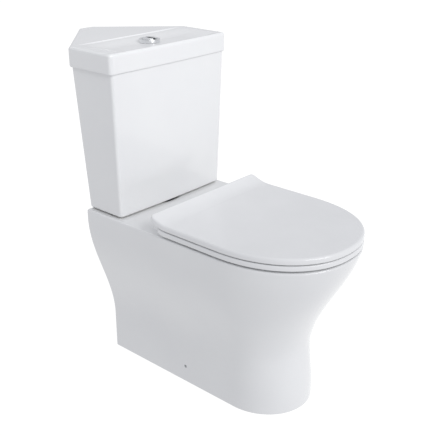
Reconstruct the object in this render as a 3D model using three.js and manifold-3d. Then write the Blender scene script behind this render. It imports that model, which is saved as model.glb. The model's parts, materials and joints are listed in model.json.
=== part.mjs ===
// A close-coupled corner toilet: a fully shrouded pan, a five-sided cistern that stands in a
// corner, a soft-close seat and lid, and the flushing and filling fittings inside.
// Millimetres. +Z is up, -Y is the front, the floor is z = 0 and x = 0 is the middle plane.
import * as THREE from 'three';
import { mergeVertices } from 'three/addons/utils/BufferGeometryUtils.js';
import Module from 'manifold-3d';

const wasm = await Module();
wasm.setup();

// ---------------------------------------------------------------- driving dimensions
const GAP = 0.3; // left between pieces that touch

const RIM_HALF = 176; // half width of the pan at its rim, and of the seat
const BASE_HALF = 108; // half width of the pan at the floor
const RIM_FRONT = -394.5; // foremost point of the rim and the seat
const RIM_STRAIGHT = -183.5; // the rim's sides are straight back from here
const BASE_FRONT = -297.5;
const BASE_STRAIGHT = -181.5;
const WAIST = 14; // how far the front of the foot draws back above the floor
const PAN_BACK = 213.5;
const DECK = 400; // height of the rim and of the deck that carries the cistern
const DECK_THICK = 20;
const WALL = 12; // vitreous china
const SHELL = 9; // thinner china round the trapway

const TANK_FRONT = 106.5; // the cistern's front edge at its foot
const TANK_Z = 403;
const TANK_TOP = 732.7;
const TANK_WALL = 10;
const TANK_FLOOR = 14;
const TANK_BOW = 3.5; // the front face stands out this much in the middle
const LID_Z = 733;
const LID_TOP = 775;
const SCOOP_DEPTH = 7;
const CREASE_Y = 232.5; // the lid's raised back triangle starts here

const HINGE_Y = -11.5;
const HINGE_Z = 423;
const BARREL = 9; // radius of the seat's and lid's hinge barrels
const PIN = 4;
const RUN = 0.3; // clearance round a pin
const STUD_X = 77.5;
const SEAT_Z = 404;
const SEAT_TOP = 416;
const SEAT_REAR = -33.5; // the flat of the seat ring ends here
const COVER_Z = 418;
const COVER_TOP = 431;
const COVER_REAR = 3.5;
const COVER_SKIN = 5;
const COVER_RISE = 16; // the lid sweeps up this much at its rear edge
const RISE_FROM = -52;

const FLUSH_Y = 169.5; // the flush valve, the inlet below it and the button share this line
const INLET_R = 30;
const RECESS_R = 66;
const RECESS_DEPTH = 6;
const BOLT_X = 75;
const BOLT_R = 4;
const FILL_X = 80;
const FILL_Y = 244.5;

const BUTTON_Z = LID_TOP - SCOOP_DEPTH; // the collar sits on the scoop's floor
const COLLAR_R = 24;
const COLLAR_TALL = 8;
const SLEEVE_R = 19.5;
const BUTTON_R = 17;
const SPLIT_X = 4; // the dual button's dividing line

const OUTLET_Z = 190;
const OUTLET_END = 183.5;
const FIX_Y = -31.5; // side fixing screw
const FIX_Z = 42;

// ---------------------------------------------------------------- materials
function finish(colour, roughness, metalness) {
  return new THREE.MeshStandardMaterial({ color: colour, roughness, metalness });
}
const china = finish(0xf2f3f4, 0.08, 0);
const seatPlastic = finish(0xf0f1f2, 0.18, 0);
const chrome = finish(0xd6d8da, 0.08, 1);
const steel = finish(0xb4b6b8, 0.35, 1);
const brass = finish(0xb99a4e, 0.35, 1);
const rubber = finish(0x1d1e1f, 0.8, 0);
const clearRubber = finish(0xd9dbdc, 0.6, 0);
const whiteFitting = finish(0xe6e7e4, 0.45, 0);
const blueFitting = finish(0x3c6f9f, 0.45, 0);
const greyFitting = finish(0x8b9094, 0.5, 0);

// ---------------------------------------------------------------- solids
const lerp = THREE.MathUtils.lerp;
const smoothstep = (z, low, high) => THREE.MathUtils.smoothstep(z, low, high);

function solidOf(geometry) {
  const plain = geometry.clone();
  plain.deleteAttribute('normal');
  plain.deleteAttribute('uv');
  const merged = mergeVertices(plain, 1e-4);
  const vertProperties = new Float32Array(merged.attributes.position.array);
  const triVerts = new Uint32Array(merged.index.array);
  return new wasm.Manifold(new wasm.Mesh({ numProp: 3, vertProperties, triVerts }));
}

function box(low, high) {
  const [dx, dy, dz] = high.map((value, i) => value - low[i]);
  const geometry = new THREE.BoxGeometry(dx, dy, dz);
  geometry.translate(low[0] + dx / 2, low[1] + dy / 2, low[2] + dz / 2);
  return solidOf(geometry);
}

// An upright cylinder.
function post(radius, low, high, x = 0, y = 0, sides = 32) {
  const geometry = new THREE.CylinderGeometry(radius, radius, high - low, sides);
  geometry.rotateX(Math.PI / 2);
  geometry.translate(x, y, (low + high) / 2);
  return solidOf(geometry);
}

// A cylinder along x, centred on the point (y, z).
function bar(radius, from, to, y, z, sides = 24) {
  const geometry = new THREE.CylinderGeometry(radius, radius, Math.abs(to - from), sides);
  geometry.rotateZ(Math.PI / 2);
  geometry.translate((from + to) / 2, y, z);
  return solidOf(geometry);
}

// A cylinder along y, centred on the point (x, z).
function tunnel(radius, from, to, x, z, sides = 32) {
  const geometry = new THREE.CylinderGeometry(radius, radius, Math.abs(to - from), sides);
  geometry.translate(x, (from + to) / 2, z);
  return solidOf(geometry);
}

// A turned piece: the profile is [radius, height] pairs, and stands at x, y.
function turned(profile, x = 0, y = 0, sides = 24) {
  const closed = [...profile, profile[0]];
  const onAxis = profile[0][0] === 0;
  const points = (onAxis ? profile : closed).map(([r, z]) => new THREE.Vector2(r, z));
  const geometry = new THREE.LatheGeometry(points, sides);
  geometry.rotateX(Math.PI / 2);
  geometry.translate(x, y, 0);
  return solidOf(geometry);
}

function ringPiece(inner, outer, low, high, x, y, sides = 24) {
  return turned([[inner, low], [outer, low], [outer, high], [inner, high]], x, y, sides);
}

// A hexagon nut with a round hole.
function nut(inner, outer, low, high, x, y, sides = 20) {
  const clear = inner / Math.cos(Math.PI / sides);
  return post(outer, low, high, x, y, 6).subtract(post(clear, low - 1, high + 1, x, y, sides));
}

// A plan outline pulled up from one height to another.
function prism(outline, low, high) {
  const shape = new THREE.Shape(outline.map(([x, y]) => new THREE.Vector2(x, y)));
  const geometry = new THREE.ExtrudeGeometry(shape, { depth: high - low, bevelEnabled: false });
  geometry.translate(0, 0, low);
  return solidOf(geometry);
}

// A side profile of [y, z] points pulled along x.
function profileAlongX(profile, from, to) {
  const shape = new THREE.Shape(profile.map(([y, z]) => new THREE.Vector2(y, z)));
  const geometry = new THREE.ExtrudeGeometry(shape, { depth: to - from, bevelEnabled: false });
  const frame = new THREE.Matrix4().makeBasis(
    new THREE.Vector3(0, 1, 0), new THREE.Vector3(0, 0, 1), new THREE.Vector3(1, 0, 0));
  geometry.applyMatrix4(frame);
  geometry.translate(from, 0, 0);
  return solidOf(geometry);
}

// A skin over level outlines: levels are [height, outline] pairs, lowest first, and all the
// outlines have the same number of [x, y] points, counter-clockwise from above.
function loft(levels) {
  const sides = levels[0][1].length;
  const steps = levels.length - 1;
  const geometry = new THREE.CylinderGeometry(1, 1, 1, sides, steps);
  const position = geometry.attributes.position;
  const middle = (outline) => {
    const sum = outline.reduce(([a, b], [x, y]) => [a + x, b + y], [0, 0]);
    return [sum[0] / outline.length, sum[1] / outline.length];
  };
  for (let i = 0; i < position.count; i += 1) {
    const level = Math.round((position.getY(i) + 0.5) * steps);
    const across = position.getX(i);
    const along = position.getZ(i);
    const turn = Math.atan2(across, along) / (2 * Math.PI);
    const side = (Math.round(turn * sides) + sides) % sides;
    const [height, outline] = levels[level];
    const [x, y] = Math.hypot(across, along) < 0.5 ? middle(outline) : outline[side];
    position.setXYZ(i, x, y, height);
  }
  return solidOf(geometry);
}

// A pipe of round section along a smooth route of points in the middle plane.
function pipe(radius, route, sides = 7, steps = 11) {
  const circle = new THREE.Shape();
  circle.absarc(0, 0, radius, 0, 2 * Math.PI);
  const path = new THREE.CatmullRomCurve3(route.map(([y, z]) => new THREE.Vector3(0, y, z)));
  const options = { steps, curveSegments: sides, bevelEnabled: false, extrudePath: path };
  return solidOf(new THREE.ExtrudeGeometry(circle, options));
}

function joined(solids) {
  return solids.reduce((whole, piece) => whole.add(piece));
}

const group = new THREE.Group();

function addPart(name, solid, material) {
  const { vertProperties, triVerts, numProp } = solid.getMesh();
  const positions = new Float32Array((vertProperties.length / numProp) * 3);
  for (let i = 0; i < positions.length / 3; i += 1) {
    positions.set(vertProperties.subarray(i * numProp, i * numProp + 3), i * 3);
  }
  const geometry = new THREE.BufferGeometry();
  geometry.setAttribute('position', new THREE.BufferAttribute(positions, 3));
  geometry.setIndex(new THREE.BufferAttribute(new Uint32Array(triVerts), 1));
  geometry.computeVertexNormals();
  const mesh = new THREE.Mesh(geometry, material);
  mesh.name = name;
  group.add(mesh);
}

// ---------------------------------------------------------------- outlines
const FRONT_STEPS = 24;
const SIDE_STEPS = 4;
const BACK_STEPS = 4;

// Straight sides, a square back and a rounded front.
function dOutline(half, back, straight, front, power) {
  const points = [];
  const run = (from, to, count) => {
    for (let i = 0; i < count; i += 1) {
      points.push([lerp(from[0], to[0], i / count), lerp(from[1], to[1], i / count)]);
    }
  };
  run([half, back], [-half, back], BACK_STEPS);
  run([-half, back], [-half, straight], SIDE_STEPS);
  for (let i = 0; i < FRONT_STEPS; i += 1) {
    const angle = (Math.PI * i) / FRONT_STEPS;
    const across = Math.sign(Math.cos(angle)) * Math.abs(Math.cos(angle)) ** (2 / power);
    const along = Math.sin(angle) ** (2 / power);
    points.push([-half * across, straight + (front - straight) * along]);
  }
  run([half, straight], [half, back], SIDE_STEPS);
  return points;
}

function oval(halfWidth, rear, front, sides = 24) {
  const points = [];
  for (let i = 0; i < sides; i += 1) {
    const angle = (2 * Math.PI * i) / sides;
    const y = (rear + front) / 2 + ((rear - front) / 2) * Math.sin(angle);
    points.push([halfWidth * Math.cos(angle), y]);
  }
  return points;
}

// Corner points with a radius each: [x, y, radius]. Sharp where the radius is 0.
function filleted(corners, steps = 3) {
  const points = [];
  corners.forEach(([x, y, radius], i) => {
    if (radius === 0) {
      points.push([x, y]);
      return;
    }
    const corner = new THREE.Vector2(x, y);
    const [ax, ay] = corners[(i + corners.length - 1) % corners.length];
    const [bx, by] = corners[(i + 1) % corners.length];
    const back = new THREE.Vector2(ax, ay).sub(corner).normalize();
    const ahead = new THREE.Vector2(bx, by).sub(corner).normalize();
    const half = Math.acos(THREE.MathUtils.clamp(back.dot(ahead), -1, 1)) / 2;
    const start = corner.clone().addScaledVector(back, radius / Math.tan(half));
    const end = corner.clone().addScaledVector(ahead, radius / Math.tan(half));
    const curve = new THREE.QuadraticBezierCurve(start, corner, end);
    curve.getPoints(steps).forEach((point) => points.push([point.x, point.y]));
  });
  return points;
}

// The cistern's plan: a bowed front, two side returns, two 45-degree backs and a cut-off tip.
// diagonal is x + y along the right-hand back face.
function cornerOutline({ half, front, diagonal, tip, bow, inset = 0 }) {
  const h = half - inset;
  const f = front + inset;
  const d = diagonal - inset * Math.SQRT2;
  const t = tip - inset;
  const corners = [[d - t, t, 12], [t - d, t, 12], [-h, d - h, 8], [-h, f, 7]];
  const bowSteps = 6;
  for (let i = 1; i < bowSteps; i += 1) {
    const x = lerp(-h, h, i / bowSteps);
    corners.push([x, f - bow * (1 - (x / h) ** 2), 0]);
  }
  corners.push([h, f, 7], [h, d - h, 8]);
  return filleted(corners);
}

const TANK_FOOT = { half: 165.5, front: TANK_FRONT, diagonal: 375, tip: 354.5, bow: TANK_BOW };
const TANK_HEAD = { half: 177, front: 101.5, diagonal: 406.5, tip: 386.5, bow: TANK_BOW };
const LID_PLAN = { half: 182, front: 98.5, diagonal: 414.5, tip: 394.5, bow: TANK_BOW };

const inset = (plan, amount) => cornerOutline({ ...plan, inset: amount });

// The cistern's plan at any height of its tapered walls.
function tankPlan(z) {
  const t = (z - TANK_Z) / (TANK_TOP - TANK_Z);
  const plan = {};
  Object.keys(TANK_FOOT).forEach((key) => {
    plan[key] = lerp(TANK_FOOT[key], TANK_HEAD[key], t);
  });
  return plan;
}

// ---------------------------------------------------------------- pan
// The foot grows out to the rim: the sides between these heights, and the front later.
function panOutline(z, wall = 0, back = PAN_BACK) {
  const side = smoothstep(z, 95, 380);
  const nose = smoothstep(z, 130, 440) / smoothstep(DECK, 130, 440);
  const drawn = WAIST * smoothstep(z, 20, 150);
  const half = lerp(BASE_HALF, RIM_HALF, side) - wall;
  const front = BASE_FRONT + drawn + (RIM_FRONT - BASE_FRONT - WAIST) * nose + wall;
  const straight = lerp(BASE_STRAIGHT, RIM_STRAIGHT, side);
  return dOutline(half, back, straight, front, lerp(2, 2.15, side));
}

const BOWL = [ // [height, half width, rear, front], floor of the sump first
  [76, 26, -104, -150],
  [90, 38, -96, -164],
  [130, 44, -92, -176],
  [190, 60, -88, -212],
  [240, 88, -80, -266],
  [290, 116, -68, -314],
  [335, 133, -59, -350],
  [366, 137, -56, -366],
  [374, 128, -65.5, -359.5],
  [DECK + 2, 128, -65.5, -359.5],
];

const TRAP = [[-128, 112], [-82, 112], [-30, 150], [18, 212], [60, 240], [102, 220], [140, 194],
  [OUTLET_END - 2, OUTLET_Z]];
const TRAP_R = 38;
const DUCT_HALF = 35;

function makePan() {
  const heights = [0, 70, 110, 145, 180, 220, 260, 300, 340, 375, DECK - 4];
  const outside = heights.map((z) => [z, panOutline(z)]);
  outside.push([DECK - 1, panOutline(DECK, 1.2)], [DECK, panOutline(DECK, 4)]);
  const open = PAN_BACK + 20;
  const insideHeights = [-1, 110, 165, 225, 290, DECK - DECK_THICK];
  const inside = insideHeights.map((z) => [z, panOutline(Math.max(z, 0), WALL, open)]);
  const bowlSides = BOWL.map(([z, half, rear, front]) => [z, oval(half, rear, front)]);
  const bowlShell = BOWL.slice(0, -1).map(([z, half, rear, front], i) => (
    [z - (i === 0 ? WALL : 0), oval(half + 11, rear + 11, front - 11)]));
  const duct = box([-DUCT_HALF - SHELL, -60, 331], [DUCT_HALF + SHELL, 206, 385]);
  const ductBore = box([-DUCT_HALF, -75, 340], [DUCT_HALF, 202, DECK - DECK_THICK]);
  const spigot = tunnel(51, 120, OUTLET_END, 0, OUTLET_Z);
  const china = joined([
    loft(outside).subtract(loft(inside)), loft(bowlShell), duct, pipe(TRAP_R + SHELL, TRAP), spigot,
  ]);
  const flushed = [loft(bowlSides), ductBore, pipe(TRAP_R, TRAP),
    tunnel(45, 146, OUTLET_END + 5, 0, OUTLET_Z)];
  const holes = [
    post(INLET_R, 350, DECK + 1, 0, FLUSH_Y),
    post(RECESS_R, DECK - RECESS_DEPTH, DECK + 1, 0, FLUSH_Y, 40),
  ];
  [-1, 1].forEach((side) => {
    holes.push(post(6, DECK - 30, DECK + 1, side * BOLT_X, FLUSH_Y, 20));
    holes.push(post(7, DECK - 30, DECK + 1, side * STUD_X, HINGE_Y, 20));
    holes.push(bar(4, side * 80, side * 120, FIX_Y, FIX_Z, 16));
  });
  return [...flushed, ...holes].reduce((whole, cut) => whole.subtract(cut), china);
}

// ---------------------------------------------------------------- cistern
function makeTank() {
  const outside = loft([
    [TANK_Z, inset(tankPlan(TANK_Z), 4)],
    [TANK_Z + 1.5, inset(tankPlan(TANK_Z), 1)],
    [TANK_Z + 5, inset(tankPlan(TANK_Z + 5), 0)],
    [TANK_TOP, inset(TANK_HEAD, 0)],
  ]);
  const floor = TANK_Z + TANK_FLOOR;
  const inside = loft([
    [floor, inset(tankPlan(floor), TANK_WALL)],
    [TANK_TOP + 1, inset(TANK_HEAD, TANK_WALL)],
  ]);
  const holes = [
    post(29, TANK_Z - 1, floor + 1, 0, FLUSH_Y),
    post(6, TANK_Z - 1, floor + 1, BOLT_X, FLUSH_Y, 20),
    post(6, TANK_Z - 1, floor + 1, -BOLT_X, FLUSH_Y, 20),
    post(11, TANK_Z - 1, floor + 1, FILL_X, FILL_Y, 24),
  ];
  return holes.reduce((whole, hole) => whole.subtract(hole), outside.subtract(inside));
}

const CAVITY_TOP = 759;
const RIB_OUT = 20; // the rib under the lid drops inside the cistern's rim
const RIB_IN = 25;

// The scoop's floor: level in the middle, rising to nothing towards both ends.
function scoop() {
  const steps = 20;
  const reach = 156;
  const level = 84;
  const profile = [[reach, LID_TOP + 5], [-reach, LID_TOP + 5]];
  for (let i = 0; i <= steps; i += 1) {
    const x = lerp(-reach, reach, i / steps);
    profile.push([x, LID_TOP - SCOOP_DEPTH * (1 - smoothstep(Math.abs(x), level, reach))]);
  }
  const shape = new THREE.Shape(profile.map(([x, z]) => new THREE.Vector2(x, z)));
  const depth = CREASE_Y - LID_PLAN.front - 4;
  const geometry = new THREE.ExtrudeGeometry(shape, { depth, bevelEnabled: false });
  const frame = new THREE.Matrix4().makeBasis(
    new THREE.Vector3(1, 0, 0), new THREE.Vector3(0, 0, 1), new THREE.Vector3(0, -1, 0));
  geometry.applyMatrix4(frame);
  geometry.translate(0, CREASE_Y, 0);
  return solidOf(geometry);
}

function makeCisternLid() {
  const outside = loft([
    [LID_Z, inset(LID_PLAN, 1.5)],
    [LID_Z + 4, inset(LID_PLAN, 0)],
    [LID_TOP - 5, inset(LID_PLAN, 0)],
    [LID_TOP - 1.2, inset(LID_PLAN, 1.2)],
    [LID_TOP, inset(LID_PLAN, 4)],
  ]);
  const rib = prism(inset(LID_PLAN, RIB_OUT), LID_Z - 11, LID_Z + 5);
  const hollow = prism(inset(LID_PLAN, RIB_IN), LID_Z - 12, CAVITY_TOP);
  return outside.add(rib).subtract(hollow).subtract(scoop())
    .subtract(post(SLEEVE_R + 0.5, CAVITY_TOP - 1, LID_TOP, 0, FLUSH_Y));
}

// ---------------------------------------------------------------- seat and lid
const SIDES = [-1, 1];
const NAMES = { '-1': 'left', 1: 'right' };
const HUBS = [[-RIM_HALF, -122], [-57, 57], [122, RIM_HALF]]; // the seat ring's barrels
const KNUCKLE = [98, 120]; // the lid's knuckle, either side
const POST = [59, 96];

const fromHinge = (points) => points.map(([y, z]) => [HINGE_Y + y, HINGE_Z + z]);

function makeSeatRing() {
  const plan = dOutline(RIM_HALF, SEAT_REAR, RIM_STRAIGHT, RIM_FRONT, 2.15);
  const edge = dOutline(RIM_HALF - 2, SEAT_REAR, RIM_STRAIGHT, RIM_FRONT + 2, 2.15);
  const slab = loft([[SEAT_Z, edge], [SEAT_Z + 2, plan], [SEAT_TOP - 2, plan], [SEAT_TOP, edge]]);
  const web = fromHinge([[-30, -19], [-22, -19], [-8, -8], [-4, 7], [-24, -7], [-30, -7]]);
  const hubs = HUBS.flatMap(([from, to]) => [
    profileAlongX(web, from, to),
    bar(BARREL, from, to, HINGE_Y, HINGE_Z),
  ]);
  const hole = loft([
    [SEAT_Z - 1, oval(112, -72, -343, 32)],
    [SEAT_TOP - 6, oval(113, -71, -345, 32)],
    [SEAT_TOP + 1, oval(118, -66, -350, 32)],
  ]);
  const bores = SIDES.map((side) => (
    bar(PIN + RUN, side * 44.7, side * 60, HINGE_Y, HINGE_Z)));
  return [hole, ...bores].reduce((whole, cut) => whole.subtract(cut), joined([slab, ...hubs]));
}

// Height of the seat lid's upper face: a low crown that sweeps up to the rear edge.
function coverHeight(x, y) {
  const back = THREE.MathUtils.clamp((y - RISE_FROM) / (COVER_REAR - RISE_FROM), 0, 1);
  const forward = THREE.MathUtils.clamp((y - RIM_FRONT) / 120, 0, 1);
  const crown = 3 * (1 - (x / RIM_HALF) ** 2) * (1 - back) * Math.sin((forward * Math.PI) / 2);
  return COVER_TOP + crown + COVER_RISE * back * back;
}

// Everything below the upper face, less a thickness.
function underCover(less) {
  const low = COVER_Z - 1;
  const width = 2 * RIM_HALF + 8;
  const length = COVER_REAR + 4 - (RIM_FRONT - 4);
  const geometry = new THREE.BoxGeometry(width, length, 1, 8, 18, 1);
  geometry.translate(0, COVER_REAR + 4 - length / 2, 0);
  const position = geometry.attributes.position;
  for (let i = 0; i < position.count; i += 1) {
    const top = position.getZ(i) > 0;
    const height = coverHeight(position.getX(i), position.getY(i)) - less;
    position.setZ(i, top ? height : low);
  }
  return solidOf(geometry);
}

function makeSeatLid() {
  const plan = dOutline(RIM_HALF, COVER_REAR, RIM_STRAIGHT, RIM_FRONT, 2.15);
  const inner = dOutline(RIM_HALF - 6, COVER_REAR - 5, RIM_STRAIGHT, RIM_FRONT + 6, 2.15);
  const shell = prism(plan, COVER_Z, COVER_Z + 40).intersect(underCover(0))
    .subtract(prism(inner, COVER_Z - 1, COVER_Z + 40).intersect(underCover(COVER_SKIN)));
  const over = fromHinge([[-26, -6], [-5.5, 8.9], [0, 0], [22, 0], [22, -10], [-26, -10]]);
  const cuts = [
    profileAlongX(over, -RIM_HALF - 5, RIM_HALF + 5),
    bar(BARREL + 1, -RIM_HALF - 5, RIM_HALF + 5, HINGE_Y, HINGE_Z, 32),
  ];
  SIDES.forEach((side) => {
    const [from, to] = side < 0 ? [-POST[1] - 2, -POST[0] + 2] : [POST[0] - 2, POST[1] + 2];
    cuts.push(box([from, HINGE_Y + 5, HINGE_Z - 5], [to, HINGE_Y + 30, HINGE_Z + 15]));
  });
  const cleared = cuts.reduce((whole, cut) => whole.subtract(cut), shell);
  const knuckles = SIDES.flatMap((side) => {
    const [from, to] = side < 0 ? [-KNUCKLE[1], -KNUCKLE[0]] : KNUCKLE;
    return [
      bar(BARREL, from, to, HINGE_Y, HINGE_Z),
      box([from, HINGE_Y - 8, HINGE_Z], [to, HINGE_Y + 8, HINGE_Z + 13.5]),
    ];
  });
  return joined([cleared, ...knuckles])
    .subtract(bar(PIN + RUN, -KNUCKLE[1] - 1, KNUCKLE[1] + 1, HINGE_Y, HINGE_Z));
}

// ---------------------------------------------------------------- ceramics and seat
addPart('pan', makePan(), china);
addPart('cistern_tank', makeTank(), china);
addPart('cistern_lid', makeCisternLid(), china);
addPart('seat_ring', makeSeatRing(), seatPlastic);
addPart('seat_lid', makeSeatLid(), seatPlastic);

const SEAT_BUFFERS = { rear: [150, -95], front: [95, -338] };
const LID_BUFFERS = { rear: [146, -120], front: [92, -345] };
Object.entries(SEAT_BUFFERS).forEach(([place, [x, y]]) => SIDES.forEach((side) => {
  const buffer = post(8, DECK + GAP, SEAT_Z - GAP, side * x, y, 16);
  addPart(`seat_buffer_${place}_${NAMES[side]}`, buffer, clearRubber);
}));
Object.entries(LID_BUFFERS).forEach(([place, [x, y]]) => SIDES.forEach((side) => {
  const buffer = post(6, SEAT_TOP + GAP, COVER_TOP - COVER_SKIN - GAP, side * x, y, 16);
  addPart(`lid_buffer_${place}_${NAMES[side]}`, buffer, clearRubber);
}));

// ---------------------------------------------------------------- hinges
const UNDER_DECK = DECK - DECK_THICK;
SIDES.forEach((side) => {
  const name = NAMES[side];
  const [from, to] = side < 0 ? [-POST[1], -POST[0]] : POST;
  const x = side * STUD_X;
  const foot = box([from, HINGE_Y - 10, DECK + GAP], [to, HINGE_Y + 10, HINGE_Z]);
  const hingePost = foot.add(bar(10, from, to, HINGE_Y, HINGE_Z))
    .subtract(bar(PIN + RUN, from - 1, to + 1, HINGE_Y, HINGE_Z))
    .subtract(post(BOLT_R + RUN, DECK, DECK + 10, x, HINGE_Y, 20));
  addPart(`hinge_post_${name}`, hingePost, whiteFitting);
  addPart(`hinge_pin_${name}`, bar(PIN, side * 45, side * 118, HINGE_Y, HINGE_Z, 20), steel);
  addPart(`hinge_stud_${name}`, post(BOLT_R, 350, DECK + 10 - GAP, x, HINGE_Y, 20), steel);
  const washer = ringPiece(BOLT_R + GAP, 14, UNDER_DECK - 2.3, UNDER_DECK - GAP, x, HINGE_Y, 20);
  addPart(`hinge_washer_${name}`, washer, rubber);
  addPart(`hinge_nut_${name}`, nut(BOLT_R + GAP, 9, 366, UNDER_DECK - 2.6, x, HINGE_Y), steel);
});

// ---------------------------------------------------------------- cistern to pan
const TANK_INSIDE = TANK_Z + TANK_FLOOR;
SIDES.forEach((side) => {
  const name = NAMES[side];
  const x = side * BOLT_X;
  const hole = BOLT_R + GAP;
  const bolt = [[0, 345], [BOLT_R, 345], [BOLT_R, 424.3], [10, 424.3], [10, 430], [0, 430]];
  addPart(`coupling_bolt_${name}`, turned(bolt, x, FLUSH_Y, 20), steel);
  const cone = [[hole, TANK_INSIDE + GAP], [13, TANK_INSIDE + GAP], [16, 420], [16, 424],
    [hole, 424]];
  addPart(`coupling_seal_${name}`, turned(cone, x, FLUSH_Y, 20), rubber);
  const washer = ringPiece(hole, 14, UNDER_DECK - 2.3, UNDER_DECK - GAP, x, FLUSH_Y, 20);
  addPart(`coupling_washer_${name}`, washer, steel);
  const low = 362;
  const high = UNDER_DECK - 2.6;
  const wings = box([x - 17, FLUSH_Y - 1.5, low + 3], [x + 17, FLUSH_Y + 1.5, high]);
  const wingNut = post(8, low, high, x, FLUSH_Y, 20).add(wings)
    .subtract(post(hole, low - 1, high + 1, x, FLUSH_Y, 20));
  addPart(`wing_nut_${name}`, wingNut, steel);
});
const doughnut = ringPiece(42, 56, DECK - RECESS_DEPTH + GAP, TANK_Z - GAP, 0, FLUSH_Y, 36);
addPart('doughnut_seal', doughnut, rubber);

// ---------------------------------------------------------------- flush valve
const TAIL_R = 28;
const valveBase = [[25, 386], [TAIL_R, 386], [TAIL_R, 418.9], [42, 418.9], [42, 424], [25, 424]];
addPart('flush_valve_base', turned(valveBase, 0, FLUSH_Y, 32), whiteFitting);
const outletSeal = ringPiece(TAIL_R + GAP, 42, TANK_INSIDE + GAP, 418.6, 0, FLUSH_Y, 32);
addPart('flush_valve_seal', outletSeal, rubber);
const backnut = nut(TAIL_R + GAP, 41, DECK - RECESS_DEPTH + GAP, TANK_Z - GAP, 0, FLUSH_Y);
addPart('flush_valve_backnut', backnut, whiteFitting);

const TOWER_R = 36;
const TOWER_TOP = 646;
function makeTower() {
  const wall = [[TOWER_R - 3, 424.3], [TOWER_R, 424.3], [TOWER_R, TOWER_TOP], [0, TOWER_TOP],
    [0, TOWER_TOP - 5], [TOWER_R - 3, TOWER_TOP - 5]];
  const shape = [...wall.slice(4), ...wall.slice(0, 4)];
  const tower = turned(shape, 0, FLUSH_Y, 28);
  const windows = [
    box([-60, FLUSH_Y - 14, 429], [60, FLUSH_Y + 14, 476]),
    box([-14, FLUSH_Y - 60, 429], [14, FLUSH_Y + 60, 476]),
  ];
  return windows.reduce((whole, window) => whole.subtract(window), tower);
}
addPart('flush_valve_tower', makeTower(), whiteFitting);
const piston = [[11, 428], [30, 428], [30, 432], [14, 432], [14, 600], [11, 600]];
addPart('flush_valve_piston', turned(piston, 0, FLUSH_Y, 24), blueFitting);
addPart('piston_seal', ringPiece(14.3, 30, 424.4, 427.7, 0, FLUSH_Y, 28), rubber);

// ---------------------------------------------------------------- fill valve
const stem = [[6.5, 352], [10, 352], [10, 418.9], [18, 418.9], [18, 422], [9, 422], [9, 640],
  [6.5, 640]];
addPart('fill_valve_stem', turned(stem, FILL_X, FILL_Y, 20), whiteFitting);
const fillSeal = ringPiece(10.3, 18, TANK_INSIDE + GAP, 418.6, FILL_X, FILL_Y, 20);
addPart('fill_valve_seal', fillSeal, rubber);
addPart('fill_valve_nut', nut(10.3, 18, 394, TANK_Z - GAP, FILL_X, FILL_Y), brass);
// The float rests at the foot of its travel, as it does in an empty cistern.
addPart('float_cup', ringPiece(11.5, 28, 490, 552, FILL_X, FILL_Y, 24), greyFitting);
const head = post(19, 640.3, 672, FILL_X, FILL_Y, 24)
  .add(box([FILL_X - 31, FILL_Y - 5, 652], [FILL_X, FILL_Y + 5, 662]));
addPart('fill_valve_head', head, blueFitting);

// ---------------------------------------------------------------- dual flush button
const sleeve = [[BUTTON_R + 0.5, 744], [SLEEVE_R, 744], [SLEEVE_R, BUTTON_Z + GAP],
  [COLLAR_R, BUTTON_Z + GAP], [COLLAR_R, BUTTON_Z + COLLAR_TALL - 1.6],
  [COLLAR_R - 1.6, BUTTON_Z + COLLAR_TALL], [BUTTON_R + 0.5, BUTTON_Z + COLLAR_TALL]];
addPart('button_collar', turned(sleeve, 0, FLUSH_Y, 40), chrome);
addPart('button_nut', nut(SLEEVE_R + GAP, 28, 751, CAVITY_TOP - GAP, 0, FLUSH_Y), whiteFitting);
const disc = () => post(BUTTON_R, 761, BUTTON_Z + COLLAR_TALL + 2, 0, FLUSH_Y, 40);
const rightOfSplit = box([SPLIT_X, FLUSH_Y - 30, 750], [40, FLUSH_Y + 30, 790]);
const leftOfSplit = box([-40, FLUSH_Y - 30, 750], [SPLIT_X - 0.5, FLUSH_Y + 30, 790]);
addPart('button_full', disc().intersect(leftOfSplit), chrome);
addPart('button_half', disc().intersect(rightOfSplit), chrome);
addPart('push_rod_full', post(3, 653, 761 - GAP, -7, FLUSH_Y, 12), blueFitting);
addPart('push_rod_half', post(3, 653, 761 - GAP, 10.5, FLUSH_Y, 12), greyFitting);

// ---------------------------------------------------------------- floor fixing
SIDES.forEach((side) => {
  const name = NAMES[side];
  const wall = side * (BASE_HALF - WALL - 1);
  const upright = wall - side * 4;
  const toe = side * 58;
  const between = (a, b, y0, y1, z0, z1) => (
    box([Math.min(a, b), y0, z0], [Math.max(a, b), y1, z1]));
  const bracket = between(upright, wall, FIX_Y - 20, FIX_Y + 20, 0, 58)
    .add(between(toe, wall, FIX_Y - 20, FIX_Y + 20, 0, 4))
    .subtract(bar(2.8, upright - side * 5, wall + side * 5, FIX_Y, FIX_Z, 12))
    .subtract(post(4, -1, 6, side * 72, FIX_Y, 16));
  addPart(`floor_bracket_${name}`, bracket, steel);
  const screw = bar(2.5, side * 82, side * 104, FIX_Y, FIX_Z, 12)
    .add(bar(3.7, side * 102, side * 105, FIX_Y, FIX_Z, 16));
  addPart(`side_screw_${name}`, screw, steel);
});

export default group;
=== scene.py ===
"""The looks of a close-coupled corner toilet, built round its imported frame. Metres, +Z up."""
import json
import math

import bmesh
import bpy
from mathutils import Matrix, Vector


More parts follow.
